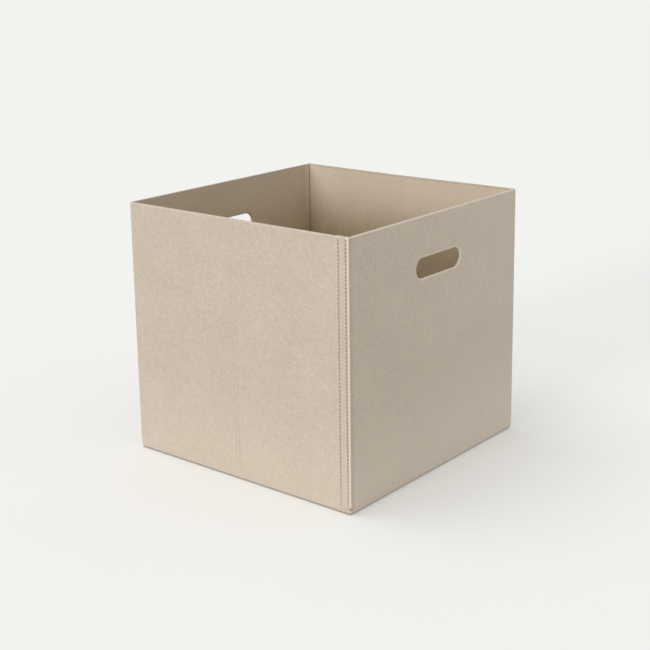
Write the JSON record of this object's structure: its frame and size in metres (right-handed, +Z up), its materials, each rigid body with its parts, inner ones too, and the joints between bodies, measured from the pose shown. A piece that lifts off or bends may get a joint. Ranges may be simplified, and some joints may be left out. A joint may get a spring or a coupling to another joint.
{
  "type": "fabric storage bin",
  "caption": "Open-top collapsible storage bin of felt over stiff boards, with hand slots in two walls, creased fold-in walls and a flip-up base panel.",
  "frame": {"origin": "centre of the footprint, on the floor", "axes": "+Z up, handle walls face -X and +X, creased walls face -Y and +Y; the lap seam is on the -Y wall beside the +X wall"},
  "size_m": [0.32, 0.323, 0.3005],
  "materials": {
    "cover_felt": "matte beige pressed felt",
    "lining_felt": "matte beige felt lining",
    "cardboard": "plain grey-brown board",
    "thread": "spun beige sewing thread"
  },
  "bodies": {
    "left_wall": {"left_wall_board": "cardboard", "left_wall_cover": "cover_felt", "left_wall_lining": "lining_felt", "left_slot_edging": "cover_felt", "left_front_corner": "cover_felt", "left_back_corner": "cover_felt", "bottom_cloth": "cover_felt"},
    "front_left_half": {"front_left_board": "cardboard", "front_left_cover": "cover_felt", "front_left_lining": "lining_felt"},
    "front_right_half": {"front_right_board": "cardboard", "front_right_cover": "cover_felt", "front_right_lining": "lining_felt", "seam_strip": "cover_felt", "outer_stitch_row": "thread"},
    "right_wall": {"right_wall_board": "cardboard", "right_wall_cover": "cover_felt", "right_wall_lining": "lining_felt", "right_slot_edging": "cover_felt", "right_front_corner": "cover_felt", "right_back_corner": "cover_felt", "seam_strip_fold": "cover_felt", "corner_stitch_row": "thread"},
    "back_left_half": {"back_left_board": "cardboard", "back_left_cover": "cover_felt", "back_left_lining": "lining_felt"},
    "back_right_half": {"back_right_board": "cardboard", "back_right_cover": "cover_felt", "back_right_lining": "lining_felt"},
    "base_flap": {"base_board": "cardboard", "base_top_cover": "lining_felt", "base_under_cover": "cover_felt", "base_hinge_tab": "lining_felt", "base_tab_stitches": "thread"}
  },
  "joints": [
    {"name": "fold", "type": "hinge", "parent": "left_wall", "child": "front_left_half", "pos_m": [-0.14875, -0.1578, 0], "axis": [0, 0, 1], "range_deg": [0, 90], "deforming": ["bottom_cloth"]},
    {"name": "front_crease", "type": "hinge", "parent": "front_left_half", "child": "front_right_half", "pos_m": [0, -0.1624, 0], "axis": [0, 0, 1], "range_deg": [-180, 0]},
    {"name": "front_right_corner", "type": "hinge", "parent": "front_right_half", "child": "right_wall", "pos_m": [0.14875, -0.1578, 0], "axis": [0, 0, 1], "range_deg": [0, 90]},
    {"name": "back_left_corner", "type": "hinge", "parent": "left_wall", "child": "back_left_half", "pos_m": [-0.14875, 0.1578, 0], "axis": [0, 0, 1], "range_deg": [-90, 0]},
    {"name": "back_crease", "type": "hinge", "parent": "back_left_half", "child": "back_right_half", "pos_m": [0, 0.1624, 0], "axis": [0, 0, 1], "range_deg": [0, 180]},
    {"name": "base_flap_hinge", "type": "hinge", "parent": "left_wall", "child": "base_flap", "pos_m": [-0.15565, 0, 0.0042], "axis": [0, -1, 0], "range_deg": [0, 90]}
  ],
  "couplings": [
    {"joint": "front_crease", "follows": "fold", "ratio": -2},
    {"joint": "front_right_corner", "follows": "fold", "ratio": 1},
    {"joint": "back_left_corner", "follows": "fold", "ratio": -1},
    {"joint": "back_crease", "follows": "fold", "ratio": 2}
  ]
}
